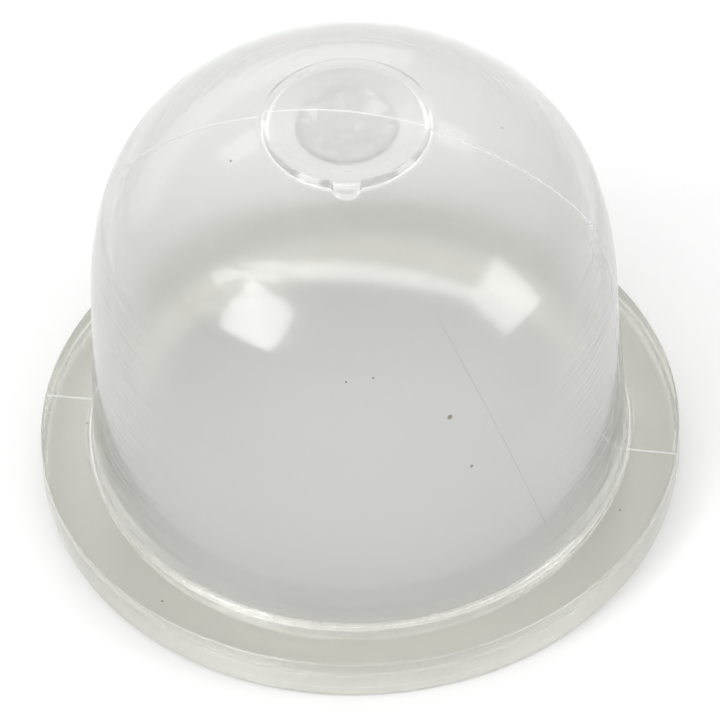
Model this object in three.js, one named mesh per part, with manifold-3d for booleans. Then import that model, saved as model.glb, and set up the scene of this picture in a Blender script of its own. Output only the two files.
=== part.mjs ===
// Primer bulb of a small engine's carburettor: a clear dome that a thumb presses, moulded in one piece
// with the round flange that a clamp ring holds down. It is hollow and open underneath.
// Millimetres, +Z up. The origin is the middle of the flange's flat underside, and +Z is the dome's axis.
import * as THREE from 'three';
import { mergeVertices } from 'three/addons/utils/BufferGeometryUtils.js';
import Module from 'manifold-3d';

const wasm = await Module();
wasm.setup();

// Dome, outer side. Its half section is a drafted wall, a long side arc, a shoulder arc and a crown arc.
const domeFootRadius = 9.2;
const domeHeight = 17.3;
const wallDraft = THREE.MathUtils.degToRad(1.8);
const sideArcRadius = 15;
const sideArcTurn = THREE.MathUtils.degToRad(12);
const shoulderRadius = 4.3;
const crownRadius = 10.2;

// Thickness of the clear wall. The core's end is flat, so the crown is thicker in the middle.
const wallThickness = 0.5;
const coreFlatRadius = 2.6;

// Flange round the dome's foot
const flangeLedge = 1.8;
const flangeThickness = 1.75;
const footFillet = 0.15;
const topCornerRadius = 0.1;
const rimDraft = THREE.MathUtils.degToRad(0.5);

// Line round the rim where the flange half of the mould meets its base plate. Below it the rim is a little
// smaller, and the underside's outer margin rises towards it.
const rimLineHeight = 0.52;
const rimLineWidth = 0.08;
const rimLineDepth = 0.06;
const lowerRimInset = 0.08;
const lowerEdgeRadius = 0.1;
const undersideMargin = 0.7;
const undersideRelief = 0.04;
const boreChamfer = 0.3;

// Low round pad on the crown, with a half-round tab at its front, and the gate's disc under it
const padRadius = 3.1;
const padSlope = 0.35;
const padRise = 0.2;
const gateRadius = 1.78;
const gateDrop = 0.08;
const reliefBlend = 0.12;
const tabRadius = 0.55;
const tabReach = 0.25;
const tabRise = 0.1;
const tabAngle = THREE.MathUtils.degToRad(-92);

// Raised line that the two halves of the dome's mould leave, in one plane through the axis
const partingAngle = THREE.MathUtils.degToRad(-10.5);
const partingWidth = 0.12;
const partingHeight = 0.05;

// Facets round the axis and round the tab, and steps along the arcs of the section
const aroundSteps = 72;
const tabSteps = 24;
const shoulderSteps = 8;
const arcSteps = 4;
const filletSteps = 2;

// How far a cutting shape reaches past what it cuts
const overcut = 1;

const flangeRadius = domeFootRadius + flangeLedge;
const padTopRadius = padRadius - padSlope;

// Points of an arc in the section plane, from one angle to another, both ends included.
function arc(centre, radius, from, to, steps = arcSteps) {
  const points = [];
  for (let i = 0; i <= steps; i += 1) {
    const angle = from + ((to - from) * i) / steps;
    points.push(new THREE.Vector2(
      centre.x + radius * Math.cos(angle),
      centre.y + radius * Math.sin(angle),
    ));
  }
  return points;
}

// Unit vector at an angle in the section plane, where x is the distance from the axis and y the height.
function direction(angle) {
  return new THREE.Vector2(Math.cos(angle), Math.sin(angle));
}

// Half section of a dome from its foot to where the crown arc starts. Every stretch is tangent to the next.
// The straight wall is as long as the height asks: its length puts the shoulder's centre at
// crownRadius - shoulder from the crown's centre, which is a quadratic equation.
function domeSection({ foot, height, side, shoulder, crown }) {
  const crownCentre = new THREE.Vector2(0, height - crown);
  const wallNormal = direction(wallDraft);
  const wallUp = new THREE.Vector2(-wallNormal.y, wallNormal.x);
  const shoulderStart = wallDraft + sideArcTurn;
  const shoulderOffset = foot.clone()
    .addScaledVector(wallNormal, -side)
    .addScaledVector(direction(shoulderStart), side - shoulder)
    .sub(crownCentre);
  const along = shoulderOffset.dot(wallUp);
  const across = shoulderOffset.lengthSq() - (crown - shoulder) ** 2;
  const wallLength = Math.sqrt(along ** 2 - across) - along;
  const wallTop = foot.clone().addScaledVector(wallUp, wallLength);
  const sideCentre = wallTop.clone().addScaledVector(wallNormal, -side);
  const shoulderCentre = sideCentre.clone().addScaledVector(direction(shoulderStart), side - shoulder);
  const crownStart = Math.atan2(shoulderCentre.y - crownCentre.y, shoulderCentre.x);
  return {
    crownCentre,
    crownStart,
    points: [
      foot,
      ...arc(sideCentre, side, wallDraft, shoulderStart),
      ...arc(shoulderCentre, shoulder, shoulderStart, crownStart, shoulderSteps).slice(1),
    ],
  };
}

// Height that the pad adds to the crown's arc at a distance from the axis.
function padRelief(radius) {
  return padRise * (1 - THREE.MathUtils.smoothstep(radius, padTopRadius, padRadius));
}

// Distances from one to the next, the first left out.
function spread(from, to, steps) {
  return Array.from({ length: steps }, (_, i) => from + ((to - from) * (i + 1)) / steps);
}

// Crown of the outer side, from the crown arc's start in to the axis, with the pad on it.
function crownSection(dome, radius) {
  const distances = [...spread(padRadius, padTopRadius, arcSteps), ...spread(padTopRadius, 0, arcSteps)];
  const pad = distances.map((fromAxis) => new THREE.Vector2(
    fromAxis,
    dome.crownCentre.y + Math.sqrt(radius ** 2 - fromAxis ** 2) + padRelief(fromAxis),
  ));
  const crown = arc(dome.crownCentre, radius, dome.crownStart, Math.acos(padRadius / radius));
  return [...crown.slice(1), ...pad];
}

// Outer half section from the flange's underside to the crown's middle. With a growth above 0, all of it
// but the underside moves out by that much, which gives the outer side of the parting line.
function outerSection(growth) {
  const topHeight = flangeThickness + growth;
  const rimRadius = flangeRadius + growth;
  const corner = new THREE.Vector2(rimRadius - topCornerRadius, topHeight - topCornerRadius);
  const radiusAt = (height) => rimRadius - (corner.y - height) * Math.tan(rimDraft);
  const lineFoot = rimLineHeight - rimLineWidth / 2;
  const lineTop = rimLineHeight + rimLineWidth / 2;
  const lowerRadius = radiusAt(lineFoot) - lowerRimInset;
  const dome = domeSection({
    foot: new THREE.Vector2(domeFootRadius + growth, topHeight),
    height: domeHeight + growth,
    side: sideArcRadius + growth,
    shoulder: shoulderRadius + growth,
    crown: crownRadius + growth,
  });
  const filletCentre = new THREE.Vector2(domeFootRadius + growth + footFillet, topHeight + footFillet);
  return [
    new THREE.Vector2(lowerRadius - undersideMargin, 0),
    new THREE.Vector2(lowerRadius - lowerEdgeRadius, undersideRelief),
    new THREE.Vector2(lowerRadius, undersideRelief + lowerEdgeRadius),
    new THREE.Vector2(lowerRadius, lineFoot),
    new THREE.Vector2(radiusAt(rimLineHeight) - rimLineDepth, rimLineHeight),
    new THREE.Vector2(radiusAt(lineTop), lineTop),
    ...arc(corner, topCornerRadius, -rimDraft, Math.PI / 2),
    ...arc(filletCentre, footFillet, -Math.PI / 2, -Math.PI, filletSteps),
    ...dome.points.slice(1),
    ...crownSection(dome, crownRadius + growth),
  ];
}

// Inner half section from the crown's middle down to the mouth of the bore at the underside. The core's flat
// end cuts the crown's arc off, and the gate's disc stands a little under the flat.
function innerSection() {
  const boreRadius = domeFootRadius - wallThickness;
  const innerCrown = crownRadius - wallThickness;
  const dome = domeSection({
    foot: new THREE.Vector2(boreRadius, flangeThickness),
    height: domeHeight - wallThickness,
    side: sideArcRadius - wallThickness,
    shoulder: shoulderRadius - wallThickness,
    crown: innerCrown,
  });
  const crown = arc(dome.crownCentre, innerCrown, dome.crownStart, Math.acos(coreFlatRadius / innerCrown));
  const flatHeight = crown.at(-1).y;
  return [
    new THREE.Vector2(0, flatHeight - gateDrop),
    new THREE.Vector2(gateRadius - reliefBlend, flatHeight - gateDrop),
    new THREE.Vector2(gateRadius, flatHeight),
    ...[...dome.points, ...crown.slice(1)].reverse(),
    new THREE.Vector2(boreRadius, boreChamfer),
    new THREE.Vector2(boreRadius + boreChamfer, 0),
  ];
}

// Solid of revolution about +Z. The section starts and ends on the axis.
function revolve(section) {
  const onAxis = (point) => new THREE.Vector2(0, point.y);
  const points = [onAxis(section[0]), ...section.slice(1, -1), onAxis(section.at(-1))];
  return new THREE.LatheGeometry(points, aroundSteps).rotateX(Math.PI / 2);
}

// Closed solid for joins and cuts, from a geometry whose like corners are merged.
function toSolid(geometry) {
  const bare = geometry.clone();
  bare.deleteAttribute('normal');
  bare.deleteAttribute('uv');
  const merged = mergeVertices(bare, 1e-5);
  const index = merged.index.array;
  const corners = [];
  for (let i = 0; i < index.length; i += 3) {
    const [a, b, c] = [index[i], index[i + 1], index[i + 2]];
    if (a !== b && b !== c && c !== a) {
      corners.push(a, b, c);
    }
  }
  return new wasm.Manifold(new wasm.Mesh({
    numProp: 3,
    vertProperties: new Float32Array(merged.attributes.position.array),
    triVerts: new Uint32Array(corners),
  }));
}

// Geometry of a finished solid.
function toGeometry(solid) {
  const mesh = solid.getMesh();
  const geometry = new THREE.BufferGeometry();
  geometry.setAttribute('position', new THREE.BufferAttribute(new Float32Array(mesh.vertProperties), 3));
  geometry.setIndex(new THREE.BufferAttribute(new Uint32Array(mesh.triVerts), 1));
  geometry.computeVertexNormals();
  return geometry;
}

// Hollow body: the inner section runs down to the bore's mouth and the outer one back up to the axis.
function makeBody() {
  return toSolid(revolve([...innerSection(), ...outerSection(0)]));
}

// The hollow as a solid, from below the underside up to the inner side of the crown.
function makeHollow() {
  const upwards = innerSection().reverse();
  const mouth = new THREE.Vector2(upwards[0].x, -overcut);
  return toSolid(revolve([new THREE.Vector2(0, -overcut), mouth, ...upwards]));
}

// Parting line: a thin upright plate through the axis, kept inside the body's outer side moved out by the
// line's height, and kept out of the hollow. Joined to the body, only its edge shows.
function makePartingLine() {
  const reach = 2 * (flangeRadius + partingHeight + overcut);
  const plateHeight = domeHeight + partingHeight + overcut;
  const plate = new THREE.BoxGeometry(reach, partingWidth, plateHeight)
    .translate(0, 0, plateHeight / 2)
    .rotateZ(partingAngle);
  const grown = revolve([new THREE.Vector2(0, 0), ...outerSection(partingHeight)]);
  return toSolid(plate).intersect(toSolid(grown)).subtract(makeHollow());
}

// Half-round tab at the front of the pad. It stands a little over the crown and stops under the pad's slope.
function makeTab() {
  const fromAxis = padRadius - tabRadius + tabReach;
  const crownHere = domeHeight - crownRadius + Math.sqrt(crownRadius ** 2 - fromAxis ** 2);
  const height = tabRise + wallThickness / 2;
  const disc = new THREE.CylinderGeometry(tabRadius, tabRadius, height, tabSteps)
    .rotateX(Math.PI / 2)
    .translate(fromAxis, 0, crownHere + tabRise - height / 2)
    .rotateZ(tabAngle);
  const slopeMiddle = padRadius - padSlope / 2;
  const underPad = new THREE.CylinderGeometry(slopeMiddle, slopeMiddle, 2 * height, aroundSteps)
    .rotateX(Math.PI / 2)
    .translate(0, 0, crownHere);
  return toSolid(disc).subtract(toSolid(underPad));
}

function makeBulb() {
  const solid = makeBody().add(makePartingLine()).add(makeTab());
  const material = new THREE.MeshStandardMaterial({
    color: 0xc9cac4,
    roughness: 0.25,
    metalness: 0,
    transparent: true,
    opacity: 0.6,
  });
  const mesh = new THREE.Mesh(toGeometry(solid), material);
  mesh.name = 'bulb';
  return mesh;
}

const primerBulb = new THREE.Group();
primerBulb.add(makeBulb());

export default primerBulb;
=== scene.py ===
# Looks of a primer bulb: a clear, slightly milky dome with a round flange, open underneath.
import math

import bpy
import numpy as np
from mathutils import Matrix, Vector


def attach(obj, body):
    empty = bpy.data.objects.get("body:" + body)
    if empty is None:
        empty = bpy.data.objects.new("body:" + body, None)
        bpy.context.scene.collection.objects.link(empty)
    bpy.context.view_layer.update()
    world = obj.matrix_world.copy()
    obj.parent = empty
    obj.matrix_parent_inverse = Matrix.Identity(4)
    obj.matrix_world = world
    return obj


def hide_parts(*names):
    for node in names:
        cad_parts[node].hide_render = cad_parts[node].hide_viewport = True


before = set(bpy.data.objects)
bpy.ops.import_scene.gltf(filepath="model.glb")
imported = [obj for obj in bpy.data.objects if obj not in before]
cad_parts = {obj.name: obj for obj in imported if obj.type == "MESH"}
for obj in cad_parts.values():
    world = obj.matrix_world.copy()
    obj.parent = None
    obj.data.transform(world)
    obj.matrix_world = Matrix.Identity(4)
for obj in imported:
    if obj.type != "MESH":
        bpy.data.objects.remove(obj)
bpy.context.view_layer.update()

MM = 0.001

# Dome, outer side, in millimetres: a drafted wall, a side arc, a shoulder arc and a crown arc
DOME_FOOT_RADIUS = 9.2
DOME_HEIGHT = 17.3
WALL_DRAFT = math.radians(1.8)
SIDE_ARC_RADIUS = 15.0
SIDE_ARC_TURN = math.radians(12)
SHOULDER_RADIUS = 4.3
CROWN_RADIUS = 10.2
WALL_THICKNESS = 0.5
CORE_FLAT_RADIUS = 2.6

# Flange, the line round its rim and the mouth of the bore
FLANGE_RADIUS = 11.0
FLANGE_THICKNESS = 1.75
FOOT_FILLET = 0.28
TOP_CORNER_RADIUS = 0.1
RIM_DRAFT = math.radians(0.5)
RIM_LINE_HEIGHT = 0.52
RIM_LINE_WIDTH = 0.08
RIM_LINE_DEPTH = 0.06
LOWER_RIM_INSET = 0.08
LOWER_EDGE_RADIUS = 0.1
UNDERSIDE_MARGIN = 0.7
UNDERSIDE_RELIEF = 0.04
BORE_CHAMFER = 0.3

# Sharp corners of the section that turn by more than this are rounded by this much
ROUNDED_TURN = math.radians(14)
EDGE_ROUNDING = 0.03

# Low round pad on the crown, the half-round tab at its front and the gate's disc under it
PAD_RADIUS = 3.1
PAD_TOP_RADIUS = 2.75
PAD_RISE = 0.2
GATE_RADIUS = 1.78
GATE_DROP = 0.06
RELIEF_BLEND = 0.3
TAB_RADIUS = 0.55
TAB_DISTANCE = 2.8
TAB_RISE = 0.1
TAB_ANGLE = math.radians(-92)
TAB_EDGE = 0.1

# Line that the two halves of the mould leave
PARTING_ANGLE = math.radians(-10.5)
PARTING_WIDTH = 0.12
PARTING_HEIGHT = 0.008

# Specks in the plastic: place and radius in millimetres
SPECKS = [
    ((3.03, -8.22, 11.04), 0.12),
    ((3.7, -8.19, 8.49), 0.08),
    ((0.54, -5.98, 15.32), 0.05),
    ((-0.4, -8.2, 12.99), 0.05),
    ((0.51, -8.15, 13.08), 0.05),
    ((-3.95, -1.06, 16.43), 0.06),
    ((5.23, 0.48, 15.83), 0.05),
    ((-7.0, -7.71, 1.75), 0.06),
    ((-9.4, 0.61, 1.75), 0.05),
    ((8.77, -4.47, 1.75), 0.05),
]

# Rippled patch on the left of the shoulder
RIPPLE_PLACE = (-4.4, -4.6, 14.9)
RIPPLE_RADIUS = 3.0

# Fine scratch down the front of the dome: its angle round the axis grows evenly from the middle height down
SCRATCH_TOP = 14.8
SCRATCH_MIDDLE = 13.9
SCRATCH_FOOT = 4.0
SCRATCH_ANGLE = math.radians(-66.6)
SCRATCH_LEAN = math.radians(1.88)
SCRATCH_WIDTH = math.radians(0.25)

# Heights and radii in millimetres that part the material's stretches from each other
CROWN_FROM = 15.0
FLANGE_TO = 1.85
FLANGE_TOP_FROM = 1.7
MOUTH_TO = 0.35
UNDERSIDE_TO = 0.12
SATIN_FROM_BEHIND = 9.6
SATIN_WIDER_IN_FRONT = 0.65

# Colours of the plastic, its parting line, its specks and its scratch. The parting line's white is its
# frosted flash with a painted highlight along its ridge
DOME_COLOUR = (0.875, 0.877, 0.858, 1)
FLANGE_COLOUR = (0.957, 0.957, 0.90, 1)
LINE_FROST_AND_HIGHLIGHT_COLOUR = (1, 1, 1, 1)
SPECK_COLOUR = (0.26, 0.21, 0.12, 1)
SCRATCH_COLOUR = (0.3, 0.3, 0.28, 1)

# Floor, in metres, a hair under the bulb
FLOOR_HALF_SIZE = 1.2
FLOOR_DROP = 0.00002
FLOOR_COLOUR = (0.745, 0.745, 0.745, 1)

# Lights, all at one distance from the bulb, in metres: name, azimuth and elevation in degrees, width, height
# and radiance. Azimuth 0 is the camera's side and 90 its right.
LIGHT_DISTANCE = 0.6
LIGHTS = [
    ("softbox_left", -50, 36, 0.24, 0.26, 6.5),
    ("softbox_right", 72, 19, 0.22, 0.38, 4.5),
    ("backdrop_low", 205, 9, 0.9, 0.18, 0.6),
    ("backdrop_high", 180, 47, 0.9, 0.12, 1.6),
    ("ceiling_tube", -8, 66, 1.5, 0.07, 4.6),
]

# Camera: it looks down at the bulb through a long lens and is rolled a little
CAMERA_DISTANCE = 500.0
CAMERA_ELEVATION = math.radians(48.11)
CAMERA_ROLL = math.radians(-2.5)
CAMERA_LENS = 723.75
SENSOR_WIDTH = 36.0
AIM_RIGHT = -0.048
AIM_UP = 3.392


def smoothstep(value, low, high):
    """Rises from 0 at low to 1 at high as 3t^2 - 2t^3, where t is the share of the way between them."""
    t = np.clip((value - low) / (high - low), 0, 1)
    return t * t * (3 - 2 * t)


def arc(centre, radius, start, end, steps):
    """Points centre + radius * (cos a, sin a) for evenly spaced angles a from start to end."""
    angles = np.linspace(start, end, steps + 1)
    return np.array(centre) + radius * np.stack([np.cos(angles), np.sin(angles)], axis=1)


def unit(angle):
    """Unit vector (cos a, sin a)."""
    return np.array([math.cos(angle), math.sin(angle)])


def dome_section(foot, height, side, shoulder, crown):
    """Half section of a dome from its foot to the crown arc's start, each stretch tangent to the next.
    The straight wall's length puts the shoulder's centre at crown - shoulder from the crown's centre."""
    crown_centre = np.array([0, height - crown])
    wall_up = np.array([-math.sin(WALL_DRAFT), math.cos(WALL_DRAFT)])
    shoulder_start = WALL_DRAFT + SIDE_ARC_TURN
    to_shoulder = -side * unit(WALL_DRAFT) + (side - shoulder) * unit(shoulder_start)
    offset = np.array(foot) + to_shoulder - crown_centre
    along = offset @ wall_up
    wall_length = math.sqrt(along ** 2 - offset @ offset + (crown - shoulder) ** 2) - along
    wall_top = np.array(foot) + wall_length * wall_up
    side_centre = wall_top - side * unit(WALL_DRAFT)
    shoulder_centre = side_centre + (side - shoulder) * unit(shoulder_start)
    crown_start = math.atan2(shoulder_centre[1] - crown_centre[1], shoulder_centre[0])
    points = np.concatenate([
        np.linspace(foot, wall_top, 7),
        arc(side_centre, side, WALL_DRAFT, shoulder_start, 10)[1:],
        arc(shoulder_centre, shoulder, shoulder_start, crown_start, 22)[1:],
    ])
    return points, crown_centre, crown_start


def pad_relief(radius):
    """Height of the pad over the crown's arc: flat on top, with a smooth slope at its edge."""
    return PAD_RISE * (1 - smoothstep(radius, PAD_TOP_RADIUS, PAD_RADIUS))


def outer_section():
    """Outer half section from the flange's underside up over the rim and the dome to the axis."""
    corner = np.array([FLANGE_RADIUS - TOP_CORNER_RADIUS, FLANGE_THICKNESS - TOP_CORNER_RADIUS])

    def rim_radius(height):
        return FLANGE_RADIUS - (corner[1] - height) * math.tan(RIM_DRAFT)

    line_foot = RIM_LINE_HEIGHT - RIM_LINE_WIDTH / 2
    line_top = RIM_LINE_HEIGHT + RIM_LINE_WIDTH / 2
    lower_radius = rim_radius(line_foot) - LOWER_RIM_INSET
    rim = [
        (lower_radius - UNDERSIDE_MARGIN, 0),
        (lower_radius - LOWER_EDGE_RADIUS, UNDERSIDE_RELIEF),
        (lower_radius, UNDERSIDE_RELIEF + LOWER_EDGE_RADIUS),
        (lower_radius, line_foot),
        (rim_radius(RIM_LINE_HEIGHT) - RIM_LINE_DEPTH, RIM_LINE_HEIGHT),
        (rim_radius(line_top), line_top),
    ]
    foot = (DOME_FOOT_RADIUS, FLANGE_THICKNESS)
    dome, crown_centre, crown_start = dome_section(
        foot, DOME_HEIGHT, SIDE_ARC_RADIUS, SHOULDER_RADIUS, CROWN_RADIUS)
    fillet_centre = (DOME_FOOT_RADIUS + FOOT_FILLET, FLANGE_THICKNESS + FOOT_FILLET)
    tab_outside = TAB_DISTANCE + TAB_RADIUS + TAB_EDGE
    crown = arc(crown_centre, CROWN_RADIUS, crown_start, math.acos(tab_outside / CROWN_RADIUS), 16)
    radii = np.concatenate([
        np.linspace(tab_outside, PAD_RADIUS, 10)[1:],
        np.linspace(PAD_RADIUS, PAD_TOP_RADIUS, 13)[1:],
        np.linspace(PAD_TOP_RADIUS, 0, 20)[1:],
    ])
    heights = crown_centre[1] + np.sqrt(CROWN_RADIUS ** 2 - radii ** 2) + pad_relief(radii)
    return np.concatenate([
        rim,
        arc(corner, TOP_CORNER_RADIUS, -RIM_DRAFT, math.pi / 2, 8),
        np.linspace((10.6, FLANGE_THICKNESS), (9.7, FLANGE_THICKNESS), 5),
        arc(fillet_centre, FOOT_FILLET, -math.pi / 2, -math.pi, 6),
        dome[1:],
        crown[1:],
        np.stack([radii, heights], axis=1),
    ])


def inner_section():
    """Inner half section from the axis down the hollow to the mouth of the bore. The core's flat end cuts the
    crown's arc off, and the gate's disc stands a little under the flat."""
    bore_radius = DOME_FOOT_RADIUS - WALL_THICKNESS
    inner_crown = CROWN_RADIUS - WALL_THICKNESS
    dome, crown_centre, crown_start = dome_section(
        (bore_radius, FLANGE_THICKNESS),
        DOME_HEIGHT - WALL_THICKNESS,
        SIDE_ARC_RADIUS - WALL_THICKNESS,
        SHOULDER_RADIUS - WALL_THICKNESS,
        inner_crown,
    )
    crown = arc(crown_centre, inner_crown, crown_start, math.acos(CORE_FLAT_RADIUS / inner_crown), 14)
    flat_height = crown[-1, 1]
    radii = np.concatenate([
        np.linspace(0, GATE_RADIUS - RELIEF_BLEND, 8)[:-1],
        np.linspace(GATE_RADIUS - RELIEF_BLEND, GATE_RADIUS, 6),
        [2.1, 2.4],
    ])
    drops = GATE_DROP * (1 - smoothstep(radii, GATE_RADIUS - RELIEF_BLEND, GATE_RADIUS))
    ceiling = np.stack([radii, flat_height - drops], axis=1)
    wall = np.concatenate([dome, crown[1:]])[::-1]
    mouth = [(bore_radius, BORE_CHAMFER), (bore_radius + BORE_CHAMFER, 0)]
    return np.concatenate([ceiling, wall, mouth])


def rounded(points, radius, steps):
    """Replaces each sharp corner by a small curve from a point a just before it to a point b just after it:
    the points (1 - t)^2 a + 2 t (1 - t) corner + t^2 b."""
    result = [points[0]]
    for before, corner, after in zip(points[:-2], points[1:-1], points[2:]):
        back = before - corner
        ahead = after - corner
        back_length = np.linalg.norm(back)
        ahead_length = np.linalg.norm(ahead)
        turn = math.acos(np.clip(-(back @ ahead) / (back_length * ahead_length), -1, 1))
        if turn < ROUNDED_TURN:
            result.append(corner)
            continue
        start = corner + back / back_length * min(radius, back_length / 3)
        end = corner + ahead / ahead_length * min(radius, ahead_length / 3)
        t = np.linspace(0, 1, steps + 1)[:, None]
        result.extend((1 - t) ** 2 * start + 2 * t * (1 - t) * corner + t ** 2 * end)
    result.append(points[-1])
    return np.array(result)


def azimuths():
    """Angles round the axis, closest together at the parting line and at the tab. A wanted spacing is given
    for every direction, its inverse is summed, and the sum is cut into equal parts."""
    degrees = np.linspace(0, 360, 36001)
    to_line = np.abs((degrees - math.degrees(PARTING_ANGLE) + 90) % 180 - 90)
    to_tab = np.abs((degrees - math.degrees(TAB_ANGLE) + 180) % 360 - 180)
    spacing = np.minimum(1.4, 0.09 + 0.25 * to_line)
    spacing = np.minimum(spacing, 0.5 + 0.1 * np.maximum(to_tab - 13, 0))
    count = np.concatenate([[0], np.cumsum(0.5 * (1 / spacing[1:] + 1 / spacing[:-1]) * np.diff(degrees))])
    parts = math.ceil(count[-1])
    return np.radians(np.interp(np.arange(parts) * count[-1] / parts, count, degrees))


def bulb_surface():
    """Vertices and faces of the whole bulb, and for each vertex 1 on the outer side and 0 in the hollow. The
    closed half section is turned about the axis. Its outer side is then moved along its normal by the parting
    line's height, h * (1 - x^2)^2 with x the distance from the line's plane over half the line's width, and
    by the tab's, a round pad with a soft edge."""
    outside = outer_section()
    section = rounded(np.concatenate([inner_section(), outside]), EDGE_ROUNDING, 3)
    tangent = np.gradient(section, axis=0)
    normal = np.stack([tangent[:, 1], -tangent[:, 0]], axis=1)
    normal /= np.linalg.norm(normal, axis=1)[:, None]
    start = int(np.argmin(np.linalg.norm(section - outside[0], axis=1))) + 2
    is_outside = (np.arange(len(section)) >= start).astype(float)
    may_grow = is_outside * smoothstep(section[:, 1], 0, 0.1)

    angles = azimuths()
    rings = section[1:-1]
    radius = rings[:, 0, None] * np.ones(len(angles))
    x = radius * np.cos(angles)
    y = radius * np.sin(angles)
    from_line = np.abs(radius * np.sin(angles - PARTING_ANGLE)) / (PARTING_WIDTH / 2)
    line = PARTING_HEIGHT * np.clip(1 - from_line ** 2, 0, 1) ** 2
    tab_centre = TAB_DISTANCE * unit(TAB_ANGLE)
    from_tab = np.hypot(x - tab_centre[0], y - tab_centre[1])
    tab = TAB_RISE * (1 - smoothstep(from_tab, TAB_RADIUS - TAB_EDGE, TAB_RADIUS))
    tab = tab * smoothstep(radius, PAD_TOP_RADIUS, PAD_RADIUS)
    tab = tab * (rings[:, 1, None] > DOME_HEIGHT - 1)
    growth = (line + tab) * may_grow[1:-1, None]
    radius = radius + growth * normal[1:-1, 0, None]
    height = rings[:, 1, None] + growth * normal[1:-1, 1, None]
    grid = np.stack([radius * np.cos(angles), radius * np.sin(angles), height], axis=2)
    poles = np.array([[0, 0, section[0, 1]], [0, 0, section[-1, 1] + PARTING_HEIGHT]])

    ring_count, angle_count = len(rings), len(angles)
    index = 1 + np.arange(ring_count * angle_count).reshape(ring_count, angle_count)
    ahead = np.roll(index, -1, axis=1)
    quads = np.stack([index[:-1], ahead[:-1], ahead[1:], index[1:]], axis=2).reshape(-1, 4)
    top = 1 + ring_count * angle_count
    first_fan = np.stack([np.zeros(angle_count, int), ahead[0], index[0]], axis=1)
    last_fan = np.stack([np.full(angle_count, top), index[-1], ahead[-1]], axis=1)
    vertices = np.concatenate([poles[:1], grid.reshape(-1, 3), poles[1:]]) * MM
    marks = np.concatenate([is_outside[:1], np.repeat(is_outside[1:-1], angle_count), is_outside[-1:]])
    return vertices, [first_fan, quads, last_fan], marks


def make_mesh(name, vertices, face_groups):
    """Mesh object from an array of vertices and arrays of faces, smooth all over."""
    faces = [face for group in face_groups for face in group.tolist()]
    mesh = bpy.data.meshes.new(name)
    mesh.from_pydata(vertices.tolist(), [], faces)
    mesh.polygons.foreach_set("use_smooth", np.ones(len(faces), dtype=bool))
    mesh.update()
    piece = bpy.data.objects.new(name, mesh)
    bpy.context.scene.collection.objects.link(piece)
    return piece


class Value:
    """A shader socket that holds a number. Python's operators on it add Math nodes."""

    def __init__(self, shader, socket):
        self.shader = shader
        self.socket = socket

    def math(self, operation, *others):
        return self.shader.node("ShaderNodeMath", {"operation": operation}, self, *others).value()

    def __add__(self, other):
        return self.math("ADD", other)

    def __sub__(self, other):
        return self.math("SUBTRACT", other)

    def __mul__(self, other):
        return self.math("MULTIPLY", other)

    def __truediv__(self, other):
        return self.math("DIVIDE", other)

    def __rsub__(self, other):
        return self.shader.node("ShaderNodeMath", {"operation": "SUBTRACT"}, other, self).value()

    __radd__ = __add__
    __rmul__ = __mul__

    def __abs__(self):
        return self.math("ABSOLUTE")

    def below(self, limit, blend):
        """1 where the value is below the limit less the blend, falling smoothly to 0 at the limit."""
        settings = {"interpolation_type": "SMOOTHSTEP"}
        inputs = {"Value": self, "From Min": limit - blend, "From Max": limit, "To Min": 1.0, "To Max": 0.0}
        return self.shader.node("ShaderNodeMapRange", settings, **inputs).value("Result")


class Node:
    """A node that was added to a shader, for its outputs."""

    def __init__(self, shader, node):
        self.shader = shader
        self.node = node

    def value(self, name=0):
        return Value(self.shader, self.node.outputs[name])


class Shader:
    """The node tree of a material or of the world."""

    def __init__(self, owner):
        owner.use_nodes = True
        self.tree = owner.node_tree
        self.tree.nodes.clear()

    def node(self, kind, settings=None, *values, **named_values):
        """Adds a node, sets its settings, then fills its sockets by order or by name."""
        node = self.tree.nodes.new(kind)
        for setting, choice in (settings or {}).items():
            setattr(node, setting, choice)
        for socket_name, value in [*enumerate(values), *named_values.items()]:
            self.fill(node.inputs[socket_name], value)
        return Node(self, node)

    def noise(self, place, scale, detail):
        """Noise at a place, from 0 to 1 and mostly near a half."""
        return self.node("ShaderNodeTexNoise", None, Vector=place, Scale=scale, Detail=detail).value("Fac")

    def distance(self, place, point):
        """Distance in metres from a place to a point in millimetres."""
        point = [c * MM for c in point]
        return self.node("ShaderNodeVectorMath", {"operation": "DISTANCE"}, place, point).value("Value")

    def fill(self, socket, value):
        if isinstance(value, Value):
            self.tree.links.new(value.socket, socket)
        elif isinstance(value, Node):
            self.tree.links.new(value.node.outputs[0], socket)
        else:
            socket.default_value = value

    def mix_colour(self, factor, first, second):
        """Colour between two colours, the second where the factor is 1."""
        node = self.tree.nodes.new("ShaderNodeMix")
        node.data_type = "RGBA"
        self.fill(node.inputs["Factor"], factor)
        self.fill(node.inputs["A"], first)
        self.fill(node.inputs["B"], second)
        colour = next(s for s in node.outputs if s.type == "RGBA" and s.enabled)
        return Value(self, colour)


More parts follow.
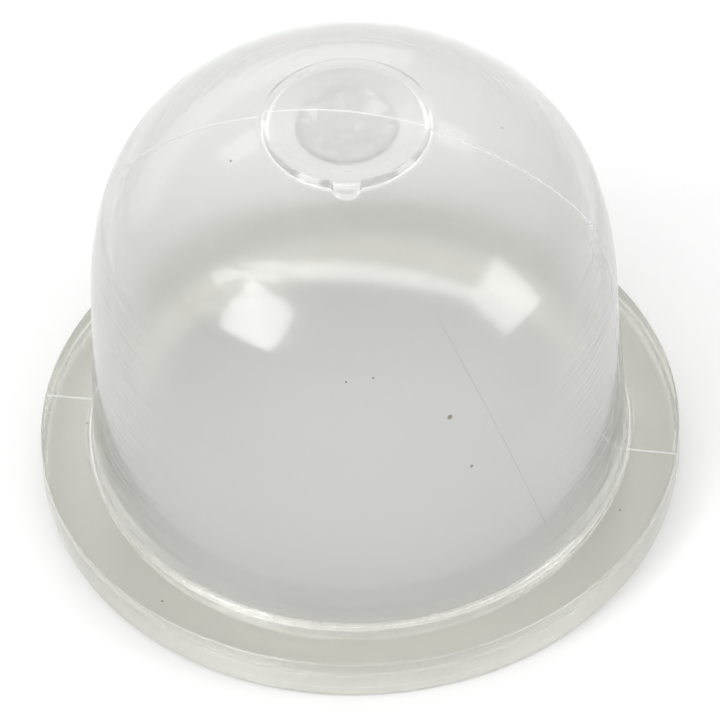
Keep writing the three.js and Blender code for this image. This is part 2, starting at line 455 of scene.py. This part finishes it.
def clear_rubber():
    """Clear plastic, glossy outside and satin inside. The gate's disc is cloudy, the mouth's edge, the
    underside and the parting line are slightly milky, and the flange is more yellow than the dome. The
    parting line is also painted white: a painted highlight along its ridge, weaker on the left of the crown."""
    material = bpy.data.materials.new("clear_rubber")
    shader = Shader(material)
    place = shader.node("ShaderNodeTexCoord").value("Object")
    split = shader.node("ShaderNodeSeparateXYZ", None, place)
    x, y, z = split.value("X"), split.value("Y"), split.value("Z")
    radius = (x * x + y * y).math("SQRT")
    outside = shader.node("ShaderNodeAttribute", {"attribute_name": "outside"}).value("Fac")
    inside = 1 - outside
    crown = 1 - z.below(CROWN_FROM * MM, 1 * MM)
    front = y.below(1 * MM, 4 * MM)
    flange = z.below(FLANGE_TO * MM, 0.15 * MM)
    flange_top = flange * (1 - z.below(FLANGE_TOP_FROM * MM, 0.1 * MM)) * outside
    mouth = z.below(MOUTH_TO * MM, 0.1 * MM) * inside
    satin_edge = (SATIN_FROM_BEHIND - SATIN_WIDER_IN_FRONT * front) * MM
    underside = z.below(UNDERSIDE_TO * MM, 0.1 * MM) * (1 - (radius - satin_edge).below(0, 0.2 * MM))
    pad = radius.below(PAD_TOP_RADIUS * MM, 0.3 * MM) * outside * crown
    gate = radius.below(GATE_RADIUS * MM, 0.2 * MM) * inside
    core_edge = abs(radius - CORE_FLAT_RADIUS * MM).below(0.08 * MM, 0.05 * MM) * inside * crown

    # The parting line's white colour is a painted highlight along its ridge, over its real frost; it is made
    # weaker on the left of the crown above 8 mm
    from_plane = abs(x * math.sin(PARTING_ANGLE) - y * math.cos(PARTING_ANGLE))
    weaker_line_highlight = x.below(-1 * MM, 3 * MM) * (1 - z.below(8 * MM, 4 * MM))
    line = from_plane.below(PARTING_WIDTH / 2 * MM, 0.03 * MM) * outside * (1 - 0.75 * weaker_line_highlight)

    base = shader.mix_colour(flange, DOME_COLOUR, FLANGE_COLOUR)
    base = shader.mix_colour(line, base, LINE_FROST_AND_HIGHLIGHT_COLOUR)
    for middle, size in SPECKS:
        speck = shader.distance(place, middle).below(size * MM, 0.4 * size * MM)
        base = shader.mix_colour(speck, base, SPECK_COLOUR)
    scratch_angle = SCRATCH_ANGLE + (SCRATCH_MIDDLE * MM - z) * (SCRATCH_LEAN / MM)
    scratch = abs(y.math("ARCTAN2", x) - scratch_angle).below(SCRATCH_WIDTH, SCRATCH_WIDTH / 2) * outside
    scratch = scratch * z.below(SCRATCH_TOP * MM, 1 * MM) * (1 - z.below(SCRATCH_FOOT * MM, 1 * MM))
    base = shader.mix_colour(scratch * 0.22, base, SCRATCH_COLOUR)

    roughness = 0.2 - 0.07 * outside + 0.3 * gate + 0.2 * line
    roughness = roughness + 0.35 * underside + 0.15 * pad + 0.15 * flange_top
    cloud = shader.noise(place, 1500.0, 2.0)
    milky = line * 0.3 + core_edge * 0.4 + gate * (cloud - 0.45).math("MAXIMUM", 0.0) * 5.0
    milky = milky + mouth * 0.2 * (1 - front) + underside * (0.08 + 0.12 * front)

    level = shader.node("ShaderNodeCombineXYZ", None, x * 0.06, y * 0.06, z)
    streaks = shader.noise(level, 5000.0, 2.0)
    stretched = shader.node("ShaderNodeVectorMath", {"operation": "MULTIPLY"}, place, (0.35, 0.35, 1.0))
    waves = shader.noise(stretched, 2600.0, 1.0)
    ripple = shader.distance(place, RIPPLE_PLACE).below(RIPPLE_RADIUS * MM, 2 * MM) * waves * outside
    uneven = shader.noise(place, 900.0, 2.0) * (1 - flange)
    relief = ripple * 9.0 + uneven * 0.25 + cloud * gate * 3.0 + streaks * 1.5 * inside
    bump = shader.node("ShaderNodeBump", None, Strength=0.15, Distance=0.00002, Height=relief)
    principled = shader.node("ShaderNodeBsdfPrincipled", None, **{
        "Base Color": base,
        "Roughness": roughness,
        "Metallic": milky,
        "IOR": 1.5,
        "Transmission Weight": 0.94,
        "Normal": bump,
    })
    shader.node("ShaderNodeOutputMaterial", None, Surface=principled)
    return material


def floor_finish():
    """Plain pale floor."""
    material = bpy.data.materials.new("pale_floor")
    shader = Shader(material)
    diffuse = shader.node("ShaderNodeBsdfDiffuse", None, Color=FLOOR_COLOUR)
    shader.node("ShaderNodeOutputMaterial", None, Surface=diffuse)
    return material


def make_bulb():
    """The bulb, with its plastic and with the vertex attribute that parts its outer side from the hollow."""
    vertices, face_groups, marks = bulb_surface()
    piece = make_mesh("bulb_body", vertices, face_groups)
    layer = piece.data.attributes.new("outside", "FLOAT", "POINT")
    layer.data.foreach_set("value", marks.astype(np.float32))
    piece.data.materials.append(clear_rubber())
    return piece


def make_floor():
    """One wide square."""
    square = np.array([[-1, -1], [1, -1], [1, 1], [-1, 1]]) * FLOOR_HALF_SIZE
    corners = np.column_stack([square, np.full(4, -FLOOR_DROP)])
    floor = make_mesh("floor", corners, [np.array([[0, 1, 2, 3]])])
    floor.data.materials.append(floor_finish())


def sky_direction(azimuth, elevation):
    """Unit vector towards a place round the bulb: azimuth 0 is the camera's side and 90 its right."""
    a, e = math.radians(azimuth), math.radians(elevation)
    return Vector((math.sin(a) * math.cos(e), -math.cos(a) * math.cos(e), math.sin(e)))


def make_light(name, azimuth, elevation, width, height, radiance):
    """Area light that faces the bulb. Its power gives the wanted radiance: power = pi * area * radiance."""
    light = bpy.data.lights.new(name, "AREA")
    light.shape = "RECTANGLE"
    light.size = width
    light.size_y = height
    light.energy = math.pi * width * height * radiance
    lamp = bpy.data.objects.new(name, light)
    away = sky_direction(azimuth, elevation)
    turned = away.to_track_quat("Z", "Y").to_matrix().to_4x4()
    lamp.matrix_world = Matrix.Translation(away * LIGHT_DISTANCE) @ turned
    bpy.context.scene.collection.objects.link(lamp)


def make_world():
    """Plain white surroundings."""
    world = bpy.data.worlds.new("studio")
    bpy.context.scene.world = world
    shader = Shader(world)
    background = shader.node("ShaderNodeBackground", None, Color=(1, 1, 1, 1), Strength=1.0)
    shader.node("ShaderNodeOutputWorld", None, Surface=background)


def make_camera():
    """Camera at its distance from the origin, aimed just over it and rolled as in the photo."""
    forward = Vector((0, math.cos(CAMERA_ELEVATION), -math.sin(CAMERA_ELEVATION)))
    level_right = Vector((1, 0, 0))
    level_up = level_right.cross(forward)
    right = level_right * math.cos(CAMERA_ROLL) + level_up * math.sin(CAMERA_ROLL)
    up = level_up * math.cos(CAMERA_ROLL) - level_right * math.sin(CAMERA_ROLL)
    place = -forward * CAMERA_DISTANCE
    back = (place - right * AIM_RIGHT - up * AIM_UP).normalized()
    side = up.cross(back).normalized()
    top = back.cross(side)
    data = bpy.data.cameras.new("camera")
    data.lens = CAMERA_LENS
    data.sensor_width = SENSOR_WIDTH
    data.clip_start = 0.01
    camera = bpy.data.objects.new("camera", data)
    turned = Matrix((side, top, back)).transposed().to_4x4()
    camera.matrix_world = Matrix.Translation(place * MM) @ turned
    bpy.context.scene.collection.objects.link(camera)
    bpy.context.scene.camera = camera


make_camera()
make_world()
for light_values in LIGHTS:
    make_light(*light_values)
make_floor()

bulb = make_bulb()
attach(bulb, "root")
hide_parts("bulb")

bpy.context.scene.view_settings.view_transform = "Standard"
